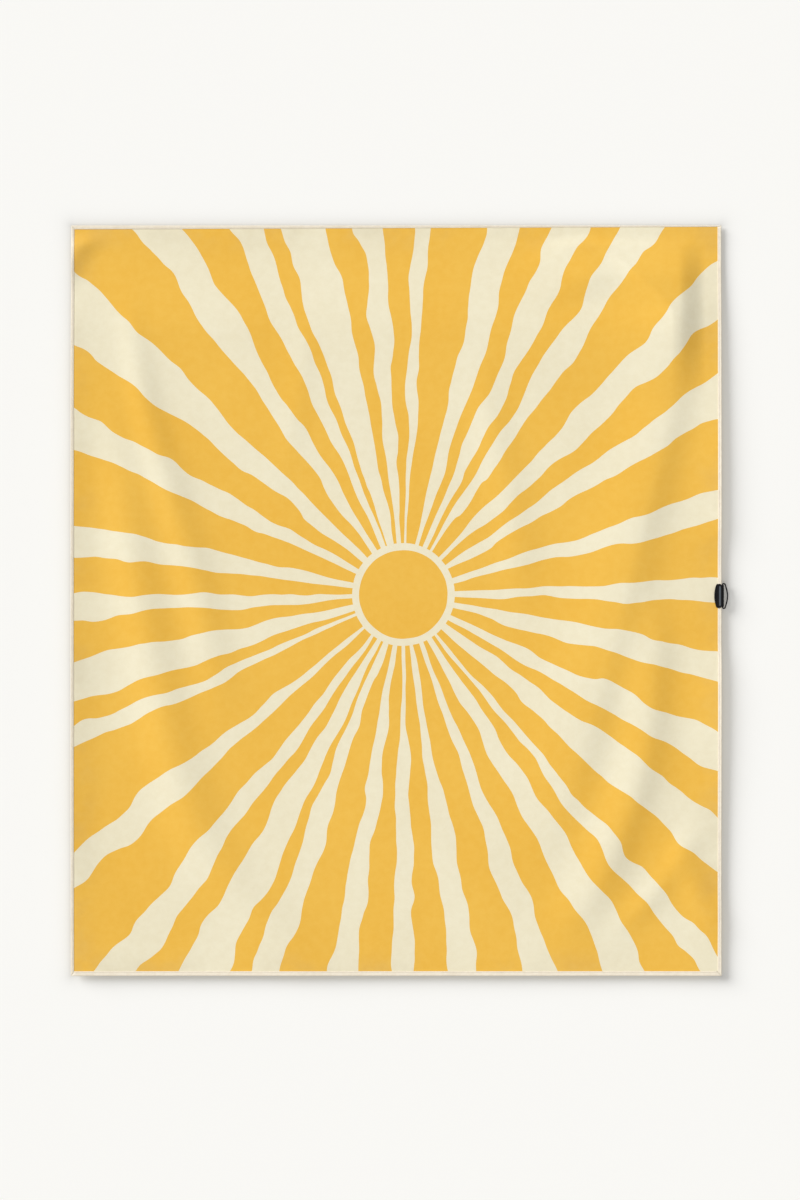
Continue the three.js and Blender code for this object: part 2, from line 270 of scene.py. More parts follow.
class Value:
    """A socket whose number varies. Sums with it add Math nodes to its node tree."""

    def __init__(self, graph, socket):
        self.graph = graph
        self.socket = socket

    def __add__(self, other):
        return self.graph.maths("ADD", self, other)

    def __radd__(self, other):
        return self.graph.maths("ADD", other, self)

    def __sub__(self, other):
        return self.graph.maths("SUBTRACT", self, other)

    def __rsub__(self, other):
        return self.graph.maths("SUBTRACT", other, self)

    def __mul__(self, other):
        return self.graph.maths("MULTIPLY", self, other)

    def __rmul__(self, other):
        return self.graph.maths("MULTIPLY", other, self)

    def __truediv__(self, other):
        return self.graph.maths("DIVIDE", self, other)

    def __neg__(self):
        return self.graph.maths("MULTIPLY", self, -1)

    def __abs__(self):
        return self.graph.maths("ABSOLUTE", self)

    def __lt__(self, other):
        return self.graph.maths("LESS_THAN", self, other)

    def __gt__(self, other):
        return self.graph.maths("GREATER_THAN", self, other)

    def sine(self):
        return self.graph.maths("SINE", self)

    def wave(self, pitch):
        """A wave from 0 to 1 that repeats once in each pitch."""
        return (self * (2 * math.pi / pitch)).sine() * 0.5 + 0.5

    def root(self):
        return self.graph.maths("SQRT", self)

    def most(self, other):
        return self.graph.maths("MAXIMUM", self, other)

    def least(self, other):
        return self.graph.maths("MINIMUM", self, other)

    def between(self, low, high):
        """0 below low, 1 above high, and a smooth rise from one to the other."""
        inputs = {"Value": self, "From Min": low, "From Max": high}
        return self.graph.node("ShaderNodeMapRange", {"interpolation_type": "SMOOTHSTEP"}, inputs)


class Graph:
    """One node tree, and the one way that its nodes are made."""

    def __init__(self, tree):
        self.nodes = tree.nodes
        self.links = tree.links

    def feed(self, socket, value):
        if isinstance(value, Value):
            self.links.new(value.socket, socket)
        elif isinstance(value, tuple) and len(value) == 3 and len(socket.default_value) == 4:
            socket.default_value = (*value, 1)
        else:
            socket.default_value = value

    def node(self, kind, settings=None, inputs=None, output=0):
        made = self.nodes.new(kind)
        for name, value in (settings or {}).items():
            if name == "stops":
                self.set_stops(made.color_ramp, value)
            else:
                setattr(made, name, value)
        for name, value in (inputs or {}).items():
            self.feed(made.inputs[name], value)
        return Value(self, made.outputs[output]) if made.outputs else None

    @staticmethod
    def set_stops(ramp, stops):
        ramp.interpolation = "CONSTANT"
        while len(ramp.elements) < len(stops):
            ramp.elements.new(0.5)
        for element, (position, level) in zip(ramp.elements, stops):
            element.position = position
            element.color = (level, level, level, 1)

    def maths(self, operation, *numbers):
        return self.node("ShaderNodeMath", {"operation": operation}, dict(enumerate(numbers)))

    def point(self, x, y, z=0.0):
        return self.node("ShaderNodeCombineXYZ", None, {"X": x, "Y": y, "Z": z})

    def parts(self, vector):
        """The three coordinates of a vector."""
        return [self.node("ShaderNodeSeparateXYZ", None, {"Vector": vector}, k) for k in range(3)]


class Finish(Graph):
    """One material, with its shader and the patterns that finishes share."""

    def __init__(self, name, roughness, sheen, specular):
        self.material = bpy.data.materials.new(name)
        self.material.use_nodes = True
        super().__init__(self.material.node_tree)
        self.shader = self.nodes["Principled BSDF"]
        self.set("Roughness", roughness)
        self.set("Sheen Weight", sheen)
        self.set("Sheen Roughness", 0.5)
        self.set("Specular IOR Level", specular)

    def set(self, name, value):
        self.feed(self.shader.inputs[name], value)

    def surface(self, uv_map):
        """The two coordinates of a piece's own UV map."""
        return self.parts(self.node("ShaderNodeUVMap", {"uv_map": uv_map}))[:2]

    def place(self):
        """The point itself, in the piece's own coordinates."""
        return self.node("ShaderNodeTexCoord", None, None, "Object")

    def noise(self, place, scale, detail=2, roughness=0.5):
        inputs = {"Vector": place, "Scale": scale, "Detail": detail, "Roughness": roughness}
        return self.node("ShaderNodeTexNoise", None, inputs)

    def blend(self, share, first, second):
        """The first colour where share is 0, and the second where it is 1."""
        settings = {"data_type": "RGBA"}
        return self.node("ShaderNodeMix", settings, {0: share, 6: first, 7: second}, 2)

    def raise_by(self, height, distance, strength=1.0):
        """Bumps the surface by a height that varies from 0 to 1."""
        inputs = {"Height": height, "Distance": distance, "Strength": strength}
        self.set("Normal", self.node("ShaderNodeBump", None, inputs))


# ---------- finishes ----------
SUNNY = linear(240, 190, 80)
SUNNY_DEEP = linear(235, 181, 68)
CREAM = linear(240, 232, 204)
CREAM_DEEP = linear(233, 223, 192)
SOIL = linear(176, 160, 128)
TAPE = linear(243, 233, 214)
TAPE_DEEP = linear(234, 222, 200)
THREAD = linear(242, 233, 215)
THREAD_DEEP = linear(222, 210, 186)
BLACK = linear(17, 17, 19)
BLACK_DEEP = linear(7, 7, 8)
# The grey of a highlight painted down the tab's black webbing.
PAINTED_HIGHLIGHT = linear(100, 106, 112)
TAB_THREAD = linear(36, 36, 40)

# How far apart the weaves, ribs and twists repeat.
FACE_WEAVE = 1.1 * MM
POCKET_WEAVE = 0.8 * MM
TAPE_RIB = 0.9 * MM
THREAD_TWIST = 0.55 * MM
WEBBING_RIB = 1.5 * MM
WEBBING_FILLING = 0.75 * MM
CORD_BRAID = 2.2 * MM
CORD_ROUND = 9 * MM  # once round the cord
SOILED_EDGE = 0.07
# Where the painted highlight lies on each leaf of the tab: a lighter band that stands in for
# sheen.
HIGHLIGHT_BAND_FROM_FOLD = TAB_STITCH_INSET + TAB_STITCH_WIDTH / 2 + 4 * MM  # from the middle of the fold
HIGHLIGHT_BAND_EDGE = (1.3 * MM, 2.6 * MM)
HIGHLIGHT_BAND_END = (TAB_DEPTH / 2 - 6 * MM, TAB_DEPTH / 2 - 3 * MM)

SUN_ACROSS = 0.014  # from the cloth's middle
SUN_UP = 0.012
SUN_RADIUS = 0.0885
RING_RADIUS = 0.1025
# The middle of each ray and its width, in degrees anticlockwise from the right.
RAYS = [
    (7, 9.5), (23, 11.5), (37, 5.5), (50, 8.5), (60.5, 3.5), (69, 4), (80.5, 8), (90.5, 4.5),
    (98.5, 4.5), (109, 4), (117.5, 4.5), (130.5, 8.5), (145.5, 7.5), (161, 10.5), (175.5, 6.5),
    (187, 6.5), (200, 4), (211, 12), (225.5, 8.5), (236.5, 5), (245.5, 4), (254.5, 7),
    (265, 5.5), (273.5, 5.5), (284, 7.5), (294.5, 5.5), (305, 4.5), (314, 7), (327, 6.5),
    (339.5, 9), (354, 8),
]  # fmt: skip
RAMP_RAYS = 11  # rays drawn by one ramp of at most 32 stops
RAY_WANDER = 0.016  # how far an edge wanders, in turns
WANDER_ROUND = 8  # how fast the wander changes from ray to ray
WANDER_OUT = 8.5  # and along a ray, for each metre
WANDER_SHARE = 1.25  # of the wander at the sun
WANDER_LOST = 0.45  # of it further out
EDGE_FRAY = 3 * MM  # how uneven the edges of the sun and its ring are


def sun_mask(finish, across, up):
    """1 on the printed sun and its rays, and 0 on the bare cloth between them."""
    x, z = across - SUN_ACROSS, up - SUN_UP
    distance = (x * x + z * z).root()
    turn = finish.maths("ARCTAN2", -z, -x) / (2 * math.pi) + 0.5
    heading = finish.point(
        x / distance * WANDER_ROUND, z / distance * WANDER_ROUND, distance * WANDER_OUT
    )
    wander = finish.noise(heading, 1, 1.5, 0.45) - 0.5
    reach = WANDER_SHARE - distance.between(0.1, 0.6) * WANDER_LOST
    turn = turn + wander * reach * RAY_WANDER
    rays = None
    for first in range(0, len(RAYS), RAMP_RAYS):
        stops = [(0, 0)]
        for middle, width in RAYS[first : first + RAMP_RAYS]:
            stops += [((middle - width / 2) / 360, 1), ((middle + width / 2) / 360, 0)]
        ramp = finish.node("ShaderNodeValToRGB", {"stops": stops}, {"Fac": turn})
        rays = ramp if rays is None else rays.most(ramp)
    edge = (finish.noise(finish.point(x, z), 22, 1) - 0.5) * EDGE_FRAY
    outside = distance + edge > RING_RADIUS
    disc = distance + edge < SUN_RADIUS
    return disc.most(outside * rays)


def weave(across, along, pitch):
    """The height of a plain weave, from 0 to 1, where warp and weft take turns on top."""
    warp = (across * (math.pi / pitch)).sine()
    weft = (along * (math.pi / pitch)).sine()
    return warp * weft * 0.35 + abs(warp) * 0.16 + abs(weft) * 0.16 + 0.34


def soil_mask(finish, across, up):
    """Where hands and the ground have greyed the cloth: its edges and corners, in patches."""
    from_side = SIDE_EDGE - abs(across)
    from_end = BLANKET_LENGTH / 2 - abs(up)
    edge = 1 - from_side.least(from_end).between(0, SOILED_EDGE)
    patches = finish.noise(finish.point(across, up), 9, 4, 0.6).between(0.42, 0.7)
    return edge * patches


def printed_cloth():
    finish = Finish("printed_cloth", 0.9, 0.12, 0.2)
    across, up = finish.surface("cloth")
    place = finish.point(across, up)
    sun = sun_mask(finish, across, up)
    mottle = finish.noise(place, 60, 4, 0.65).between(0.3, 0.7)
    cloud = finish.noise(place, 5, 3).between(0.3, 0.7)
    tone = mottle * 0.45 + cloud * 0.4
    bare = finish.blend(tone, CREAM, CREAM_DEEP)
    inked = finish.blend(tone, SUNNY, SUNNY_DEEP)
    nap = finish.noise(place, 900, 3, 0.7)
    show_through = nap.between(0.62, 0.8) * 0.16
    colour = finish.blend(sun * (1 - show_through), bare, inked)
    soil = soil_mask(finish, across, up)
    finish.set("Base Color", finish.blend(soil * 0.16, colour, SOIL))
    finish.set("Roughness", 0.84 + mottle * 0.1)
    height = weave(across, up, FACE_WEAVE) * 0.4 + nap * 0.6
    finish.raise_by(height, 0.22 * MM, 0.7)
    return finish.material


def cloth_back():
    finish = Finish("cloth_back", 0.93, 0.15, 0.2)
    across, up = finish.surface("cloth")
    place = finish.point(across, up)
    sun = sun_mask(finish, across, up)
    mottle = finish.noise(place, 70, 4, 0.65).between(0.3, 0.7)
    bare = finish.blend(mottle * 0.6, CREAM, CREAM_DEEP)
    seep = finish.noise(place, 400, 3, 0.7) * 0.22 + 0.12
    colour = finish.blend(sun * seep, bare, SUNNY)
    soil = soil_mask(finish, across, up)
    finish.set("Base Color", finish.blend(soil * 0.22, colour, SOIL))
    finish.set("Roughness", 0.86 + mottle * 0.1)
    nap = finish.noise(place, 700, 3, 0.7)
    height = weave(across, up, FACE_WEAVE) * 0.5 + nap * 0.5
    finish.raise_by(height, 0.3 * MM, 0.8)
    return finish.material


def binding_tape():
    finish = Finish("binding_tape", 0.8, 0.15, 0.25)
    along, across = finish.surface("tape")
    place = finish.point(along, across)
    mottle = finish.noise(place, 120, 3, 0.6).between(0.3, 0.7)
    grime = finish.noise(finish.point(along, across, 4), 14, 4, 0.6).between(0.5, 0.75)
    fold = 1 - abs(across).between(0.4 * MM, 2.2 * MM)
    colour = finish.blend(mottle * 0.7, TAPE, TAPE_DEEP)
    worn = grime * 0.12 + fold * grime * 0.2
    finish.set("Base Color", finish.blend(worn, colour, SOIL))
    finish.set("Roughness", 0.74 + mottle * 0.14)
    ribs = (along + across * 0.6).wave(TAPE_RIB)
    height = ribs * 0.5 + finish.noise(place, 1100, 2) * 0.5
    finish.raise_by(height, 0.16 * MM, 0.8)
    return finish.material


def twisted_thread(name, light, dark, sheen):
    finish = Finish(name, 0.6, sheen, 0.35)
    place = finish.place()
    x, y, z = finish.parts(place)
    twist = (x + z * 0.8 + y * 1.6).wave(THREAD_TWIST)
    fibre = finish.noise(place, 2600, 2)
    finish.set("Base Color", finish.blend(twist * 0.5 + fibre * 0.3, light, dark))
    finish.set("Roughness", 0.5 + fibre * 0.25)
    finish.raise_by(twist * 0.7 + fibre * 0.3, 0.08 * MM)
    return finish.material


def pocket_cloth():
    finish = Finish("pocket_cloth", 0.9, 0.12, 0.2)
    across, up = finish.surface("cloth")
    place = finish.point(across, up)
    mottle = finish.noise(place, 80, 4, 0.6).between(0.3, 0.7)
    slub = finish.noise(finish.point(across * 0.15, up * 3), 260, 3).between(0.55, 0.75)
    colour = finish.blend(mottle * 0.5 + slub * 0.35, CREAM, CREAM_DEEP)
    finish.set("Base Color", finish.blend(mottle * 0.06, colour, SOIL))
    finish.set("Roughness", 0.84 + mottle * 0.1)
    height = weave(across, up, POCKET_WEAVE) * 0.75 + slub * 0.25
    finish.raise_by(height, 0.16 * MM, 0.8)
    return finish.material


def webbing():
    finish = Finish("webbing", 0.75, 0.03, 0.15)
    round_edge, up = finish.surface("tape")
    rib = up.wave(WEBBING_RIB)
    filling = round_edge.wave(WEBBING_FILLING)
    fibre = finish.noise(finish.point(round_edge, up), 1400, 3, 0.6)
    # A lighter band down each leaf, inside its stitching, is a painted highlight: sheen painted
    # into the colour.
    highlight_band = 1 - abs(abs(round_edge) - HIGHLIGHT_BAND_FROM_FOLD).between(*HIGHLIGHT_BAND_EDGE)
    ends = 1 - abs(up).between(*HIGHLIGHT_BAND_END)
    dark = finish.blend(rib * 0.6 + fibre * 0.3, BLACK_DEEP, BLACK)
    finish.set("Base Color", finish.blend(highlight_band * ends * (0.55 + fibre * 0.3), dark, PAINTED_HIGHLIGHT))
    finish.set("Roughness", 0.6 + fibre * 0.2)
    finish.raise_by(rib * 0.45 + filling * rib * 0.35 + fibre * 0.2, 0.25 * MM)
    return finish.material


def loop_cord():
    finish = Finish("loop_cord", 0.6, 0.03, 0.2)
    around, along = finish.surface("cord")
    climb, turns = along * (2 * math.pi / CORD_BRAID), around * (4 * math.pi)
    braid = (climb + turns).sine().most((climb - turns).sine()) * 0.5 + 0.5
    fibre = finish.noise(finish.point(around * CORD_ROUND, along), 1800, 2)
    finish.set("Base Color", finish.blend(braid * 0.8 + fibre * 0.2, BLACK_DEEP, BLACK))
    finish.set("Roughness", 0.48 + fibre * 0.2)
    finish.raise_by(braid * 0.8 + fibre * 0.2, 0.18 * MM)
    return finish.material


printed_cloth_finish = printed_cloth()
cloth_back_finish = cloth_back()
binding_finish = binding_tape()
seam_thread_finish = twisted_thread("seam_thread", THREAD, THREAD_DEEP, 0.2)
pocket_finish = pocket_cloth()
webbing_finish = webbing()
tab_thread_finish = twisted_thread("tab_thread", TAB_THREAD, BLACK_DEEP, 0.05)
loop_finish = loop_cord()


# ---------- mesh helpers ----------
def grid_faces(rows, columns, round_rows=False, round_columns=False):
    """The four-sided faces of a grid of points that are counted along its rows."""
    faces = []
    for row in range(rows if round_rows else rows - 1):
        for column in range(columns if round_columns else columns - 1):
            here, there = row * columns, (row + 1) % rows * columns
            beside = (column + 1) % columns
            faces.append((here + column, here + beside, there + beside, there + column))
    return faces


def new_piece(name, points, faces, finishes, uv_name=None, uv=None):
    """A smooth mesh object. uv gives each point's place on the flat, or each face corner's."""
    mesh = bpy.data.meshes.new(name)
    mesh.from_pydata([tuple(map(float, p)) for p in points], [], faces)
    mesh.update()
    mesh.shade_smooth()
    for finish in finishes:
        mesh.materials.append(finish)
    if uv_name:
        uv = np.asarray(uv, float)
        corners = np.zeros(len(mesh.loops), int)
        mesh.loops.foreach_get("vertex_index", corners)
        places = uv if len(uv) == len(corners) != len(points) else uv[corners]
        layer = mesh.uv_layers.new(name=uv_name)
        layer.data.foreach_set("uv", places.astype(np.float32).ravel())
    piece = bpy.data.objects.new(name, mesh)
    scene.collection.objects.link(piece)
    return piece


def thicken(piece, thickness, back_finish=0):
    solid = piece.modifiers.new("thickness", "SOLIDIFY")
    solid.thickness = thickness
    solid.offset = 0
    solid.material_offset = back_finish
    return piece


def steps_between(low, high, step):
    return np.linspace(low, high, max(2, round((high - low) / step) + 1))


# ---------- the printed cloth ----------
COARSE_STEP = 9 * MM
FINE_STEP = 4.5 * MM  # over the corner pocket
FINE_MARGIN = 20 * MM  # how far past the pocket the fine steps go on


def cloth_steps(low, fine_from, high):
    coarse = steps_between(low, fine_from, COARSE_STEP)[:-1]
    return np.concatenate([coarse, steps_between(fine_from, high, FINE_STEP)])


def face_cloth():
    right, top = SIDE_EDGE - CLOTH_INSET, TOP_EDGE - CLOTH_INSET
    bottom = BOTTOM_EDGE + CLOTH_INSET
    x_steps = cloth_steps(-right, SIDE_EDGE - POCKET_ALONG_TOP - FINE_MARGIN, right)
    z_steps = cloth_steps(bottom, TOP_EDGE - POCKET_ALONG_SIDE - FINE_MARGIN, top)
    x, z = np.meshgrid(x_steps, z_steps)
    points = cloth_point(x, z, 0).reshape(-1, 3)
    uv = np.stack([x, z - MIDDLE_HEIGHT], axis=-1).reshape(-1, 2)
    faces = grid_faces(len(z_steps), len(x_steps))
    finishes = [printed_cloth_finish, cloth_back_finish]
    piece = new_piece("printed_face", points, faces, finishes, "cloth", uv)
    return thicken(piece, CLOTH_THICKNESS, back_finish=1)


printed_face = face_cloth()

# ---------- the binding ----------
# Each side's start, its direction, the way in to the cloth, and its length.
SIDES = {
    "top": ((-SIDE_EDGE, TOP_EDGE), (1, 0), (0, -1), BLANKET_WIDTH),
    "right": ((SIDE_EDGE, TOP_EDGE), (0, -1), (-1, 0), BLANKET_LENGTH),
    "bottom": ((SIDE_EDGE, BOTTOM_EDGE), (-1, 0), (0, 1), BLANKET_WIDTH),
    "left": ((-SIDE_EDGE, BOTTOM_EDGE), (0, 1), (1, 0), BLANKET_LENGTH),
}
# How wide the tape shows on the printed face, at the start and the end of each side.
FRONT_WIDTHS = {
    "top": (8 * MM, 2.8 * MM),
    "right": (7.6 * MM, 8 * MM),
    "bottom": (9.5 * MM, 9.5 * MM),
    "left": (6.4 * MM, 6.4 * MM),
}
BINDING_STEP = 3.5 * MM
TAPE_MIDDLE = BINDING_HALF - BINDING_THICKNESS / 2
TAPE_SEWN = CLOTH_THICKNESS / 2 + BINDING_THICKNESS / 2 + 0.02 * MM  # where it is sewn down
NARROWEST_SEAM = BINDING_HALF + 0.6 * MM
LEG_COLUMNS = 7
FOLD_COLUMNS = 9
LEG_SHORTER = 0.05 * MM
PUCKER_HEIGHT = 0.22 * MM
PUCKER_MOST = 1.6
PUCKER_WAVES = (0.014, 0.06, 9)  # the shortest and the longest, and their count


def front_width(name, share):
    first, last = FRONT_WIDTHS[name]
    return first + (last - first) * share


def seam_place(width):
    """How far in from the blanket's edge the seam runs in tape of this width."""
    return np.maximum(width - SEAM_INSET, NARROWEST_SEAM)


def binding_leg(width):
    """One leg of the tape, a row for each of its widths along the side: the distance in from the
    blanket's edge, and the lift off the cloth's middle, which the seam draws down."""
    inward = np.linspace(width - LEG_SHORTER, BINDING_HALF, LEG_COLUMNS, axis=-1)
    drawn_down = smooth_step(inward, BINDING_HALF, seam_place(width)[:, None])
    return inward, TAPE_MIDDLE + (TAPE_SEWN - TAPE_MIDDLE) * drawn_down


def binding_strip(name):
    corner, direction, inwards, side_length = SIDES[name]
    names = list(SIDES)
    before, after = names[names.index(name) - 1], names[(names.index(name) + 1) % len(names)]
    share = np.linspace(0, 1, round(side_length / BINDING_STEP))
    front = front_width(name, share)
    back = np.full(len(share), BINDING_WIDTH)
    front_in, front_lift = binding_leg(front)
    back_in, back_lift = binding_leg(back)
    turn = np.linspace(0, math.pi, FOLD_COLUMNS)[1:-1] + np.zeros((len(share), 1))
    fold_in = BINDING_HALF - TAPE_MIDDLE * np.sin(turn)
    inward = np.hstack([front_in, fold_in, back_in[:, ::-1]])
    lift = np.hstack([front_lift, TAPE_MIDDLE * np.cos(turn), -back_lift[:, ::-1]])
    steps = np.hypot(np.diff(inward), np.diff(lift))
    round_tape = np.hstack([np.zeros((len(share), 1)), np.cumsum(steps, axis=1)])
    round_tape -= round_tape[:, [LEG_COLUMNS + turn.shape[1] // 2]]
    on_front = np.arange(inward.shape[1]) < LEG_COLUMNS
    start = np.minimum(inward, np.where(on_front, front_width(before, 1), BINDING_WIDTH))
    end = np.minimum(inward, np.where(on_front, front_width(after, 0), BINDING_WIDTH))
    start, end = start + MITRE_GAP / 2, side_length - end - MITRE_GAP / 2
    along = start + (end - start) * share[:, None]
    x = corner[0] + direction[0] * along + inwards[0] * inward
    z = corner[1] + direction[1] * along + inwards[1] * inward
    seam = np.where(on_front, seam_place(front)[:, None], seam_place(back)[:, None])
    loose = np.sin(math.pi * np.clip(inward / seam, 0, 1)) * np.sign(lift)
    pucker = 0.5 + 0.5 * ripple(along, along * 0, *PUCKER_WAVES, seed=len(name))
    lift = lift + PUCKER_HEIGHT * loose * np.clip(pucker, 0, PUCKER_MOST)
    points = cloth_point(x, z, lift).reshape(-1, 3)
    uv = np.stack([along, round_tape], axis=-1).reshape(-1, 2)
    faces = grid_faces(*inward.shape)
    piece = new_piece(f"{name}_binding", points, faces, [binding_finish], "tape", uv)
    return thicken(piece, BINDING_THICKNESS)


bindings = {name: binding_strip(name) for name in SIDES}


# ---------- stitches ----------
STITCH_SHARE = 0.84  # of the pitch, which one stitch takes
STITCH_RISE = 1.5  # how far it bows out, in thread radii
STITCH_LEAN = 0.09  # how far it turns either way, in radians
STITCH_LEAST = (0.92, 0.95, 0.85)  # how its length, width and rise vary
STITCH_MOST = (1.05, 1.05, 1.1)
STITCH_STEPS = 4
STITCH_SIDES = 6


def stitch_tree():
    """A row of stitches along each line of the piece, all bowed out to one side."""
    tree = bpy.data.node_groups.new("stitch_row", "GeometryNodeTree")
    sockets = {
        "Rows": "NodeSocketGeometry",
        "Pitch": "NodeSocketFloat",
        "Length": "NodeSocketFloat",
        "Thread Radius": "NodeSocketFloat",
        "Rise": "NodeSocketFloat",
        "Facing": "NodeSocketVector",
        "Seed": "NodeSocketInt",
        "Finish": "NodeSocketMaterial",
    }
    for name, kind in sockets.items():
        tree.interface.new_socket(name=name, in_out="INPUT", socket_type=kind)
    tree.interface.new_socket(name="Stitches", in_out="OUTPUT", socket_type="NodeSocketGeometry")
    graph = Graph(tree)
    given = {name: graph.node("NodeGroupInput", output=name) for name in sockets}
    half = given["Length"] * 0.5
    bow_inputs = {
        "Resolution": STITCH_STEPS,
        "Start": graph.point(-half, 0.0),
        "Middle": graph.point(0.0, 0.0, given["Rise"]),
        "End": graph.point(half, 0.0),
    }
    bow = graph.node("GeometryNodeCurveQuadraticBezier", None, bow_inputs)
    ring = graph.node(
        "GeometryNodeCurvePrimitiveCircle",
        {"mode": "RADIUS"},
        {"Resolution": STITCH_SIDES, "Radius": given["Thread Radius"]},
    )
    stitch = graph.node(
        "GeometryNodeCurveToMesh", None, {"Curve": bow, "Profile Curve": ring, "Fill Caps": True}
    )
    line = graph.node("GeometryNodeMeshToCurve", None, {"Mesh": given["Rows"]})
    spaced = graph.node(
        "GeometryNodeResampleCurve", {"mode": "LENGTH"}, {"Curve": line, "Length": given["Pitch"]}
    )
    tangent = graph.node("GeometryNodeInputTangent")
    aimed = graph.node(
        "FunctionNodeAxesToRotation",
        {"primary_axis": "X", "secondary_axis": "Z"},
        {"Primary Axis": tangent, "Secondary Axis": given["Facing"]},
    )
    lean, size = [
        graph.node(
            "FunctionNodeRandomValue",
            {"data_type": "FLOAT_VECTOR"},
            {"Min": least, "Max": most, "Seed": seed},
        )
        for least, most, seed in (
            ((0.0, 0.0, -STITCH_LEAN), (0.0, 0.0, STITCH_LEAN), given["Seed"]),
            (STITCH_LEAST, STITCH_MOST, given["Seed"] + 1),
        )
    ]
    lean = graph.node("FunctionNodeEulerToRotation", None, {"Euler": lean})
    turned = graph.node(
        "FunctionNodeRotateRotation",
        {"rotation_space": "LOCAL"},
        {"Rotation": aimed, "Rotate By": lean},
    )
    placed = graph.node(
        "GeometryNodeInstanceOnPoints",
        None,
        {"Points": spaced, "Instance": stitch, "Rotation": turned, "Scale": size},
    )
    real = graph.node("GeometryNodeRealizeInstances", None, {"Geometry": placed})
    finished = graph.node(
        "GeometryNodeSetMaterial", None, {"Geometry": real, "Material": given["Finish"]}
    )
    graph.node("NodeGroupOutput", None, {"Stitches": finished})
    return tree


STITCHES = stitch_tree()


def stitch_row(lines, facing, pitch, thread_radius, seed, finish, closed=False):
    """The mesh of the stitches along some lines of points, on one side of the cloth."""
    points, edges = [], []
    for line in lines:
        first = len(points)
        points += [tuple(map(float, p)) for p in line]
        edges += [(k, k + 1) for k in range(first, len(points) - 1)]
        if closed:
            edges.append((len(points) - 1, first))
    mesh = bpy.data.meshes.new("rows")
    mesh.from_pydata(points, edges, [])
    rows = bpy.data.objects.new("rows", mesh)
    scene.collection.objects.link(rows)
    modifier = rows.modifiers.new("stitches", "NODES")
    modifier.node_group = STITCHES
    wanted = {
        "Pitch": pitch,
        "Length": pitch * STITCH_SHARE,
        "Thread Radius": thread_radius,
        "Rise": thread_radius * STITCH_RISE,
        "Facing": (0.0, float(facing), 0.0),
        "Seed": seed,
        "Finish": finish,
    }
    for item in STITCHES.interface.items_tree:
        if item.name in wanted:
            modifier[item.identifier] = wanted[item.name]
    evaluated = rows.evaluated_get(bpy.context.evaluated_depsgraph_get())
    made = bpy.data.meshes.new_from_object(evaluated)
    rows.modifiers.clear()
    bpy.data.objects.remove(rows)
    return made


def joined(name, meshes, finish):
    """One piece made of several meshes."""
    points, faces, offset = [], [], 0
    for mesh in meshes:
        points += [tuple(v.co) for v in mesh.vertices]
        faces += [tuple(k + offset for k in p.vertices) for p in mesh.polygons]
        offset = len(points)
    return new_piece(name, points, faces, [finish])


SEAM_PITCH = 3.3 * MM
SEAM_THREAD_RADIUS = 0.27 * MM
SEAM_THREAD_LIFT = SEAM_THREAD_RADIUS * 0.3
SEAM_CORNER_GAP = 1.2 * MM  # between a row's end and where it would meet the next side's row
ROW_STEP = 8 * MM


def binding_stitches(name):
    corner, direction, inwards, side_length = SIDES[name]
    ends = BINDING_WIDTH - SEAM_INSET + SEAM_CORNER_GAP
    along = steps_between(ends, side_length - ends, ROW_STEP)
    front = front_width(name, along / side_length)
    back = np.full(len(along), BINDING_WIDTH)
    meshes = []
    for facing, width in ((FRONT, front), (BACK, back)):
        inset = seam_place(width)
        x = corner[0] + direction[0] * along + inwards[0] * inset
        z = corner[1] + direction[1] * along + inwards[1] * inset
        lift = -facing * (TAPE_SEWN + BINDING_THICKNESS / 2 + SEAM_THREAD_LIFT)
        row = cloth_point(x, z, lift)
        seed = 10 * len(name) + facing
        meshes.append(
            stitch_row([row], facing, SEAM_PITCH, SEAM_THREAD_RADIUS, seed, seam_thread_finish)
        )
    return joined(f"{name}_binding_stitches", meshes, seam_thread_finish)


seams = {name: binding_stitches(name) for name in SIDES}

# ---------- the corner pocket ----------
POCKET_FRONT = -CLOTH_THICKNESS / 2 - LAYER_GAP
POCKET_BACK = POCKET_FRONT - POCKET_THICKNESS
POCKET_SIDES = MOUTH_TOP - MOUTH_SIDE
POCKET_REACH = abs(POCKET_SIDES[0] * POCKET_SIDES[1]) / np.linalg.norm(POCKET_SIDES)
POCKET_ROWS = 46
POCKET_COLUMNS = 72
POCKET_TIP = 0.015  # the share of its reach by which the pocket stops short of its corner
HEM_ROWS = 7
HEM_TURN = (0.25, 0.5, 0.75)  # shares of the half turn at the hem's fold
HEM_THREAD_LIFT = SEAM_THREAD_RADIUS * 0.35
POCKET_SAG = 1.2 * MM
POCKET_WAVINESS = 0.3 * MM
POCKET_WAVES = (0.03, 0.09, 12, 5)
POCKET_BODY = 0.9  # of its thickness, so that its hem lies clear of the patch


def mouth_point(across, distance):
    """A place on the pocket: its share of the way along the mouth, and distance in from it."""
    start = MOUTH_TOP + (MOUTH_SIDE - MOUTH_TOP) * across[..., None]
    return start + (POCKET_CORNER - start) * (distance / POCKET_REACH)[..., None]


def pocket_waves(x, z, sides):
    """How far the pocket's cloth stands off in small waves. sides is 0 at its two sewn sides."""
    return POCKET_WAVINESS * sides * np.clip(ripple(x, z, *POCKET_WAVES), 0, 2)


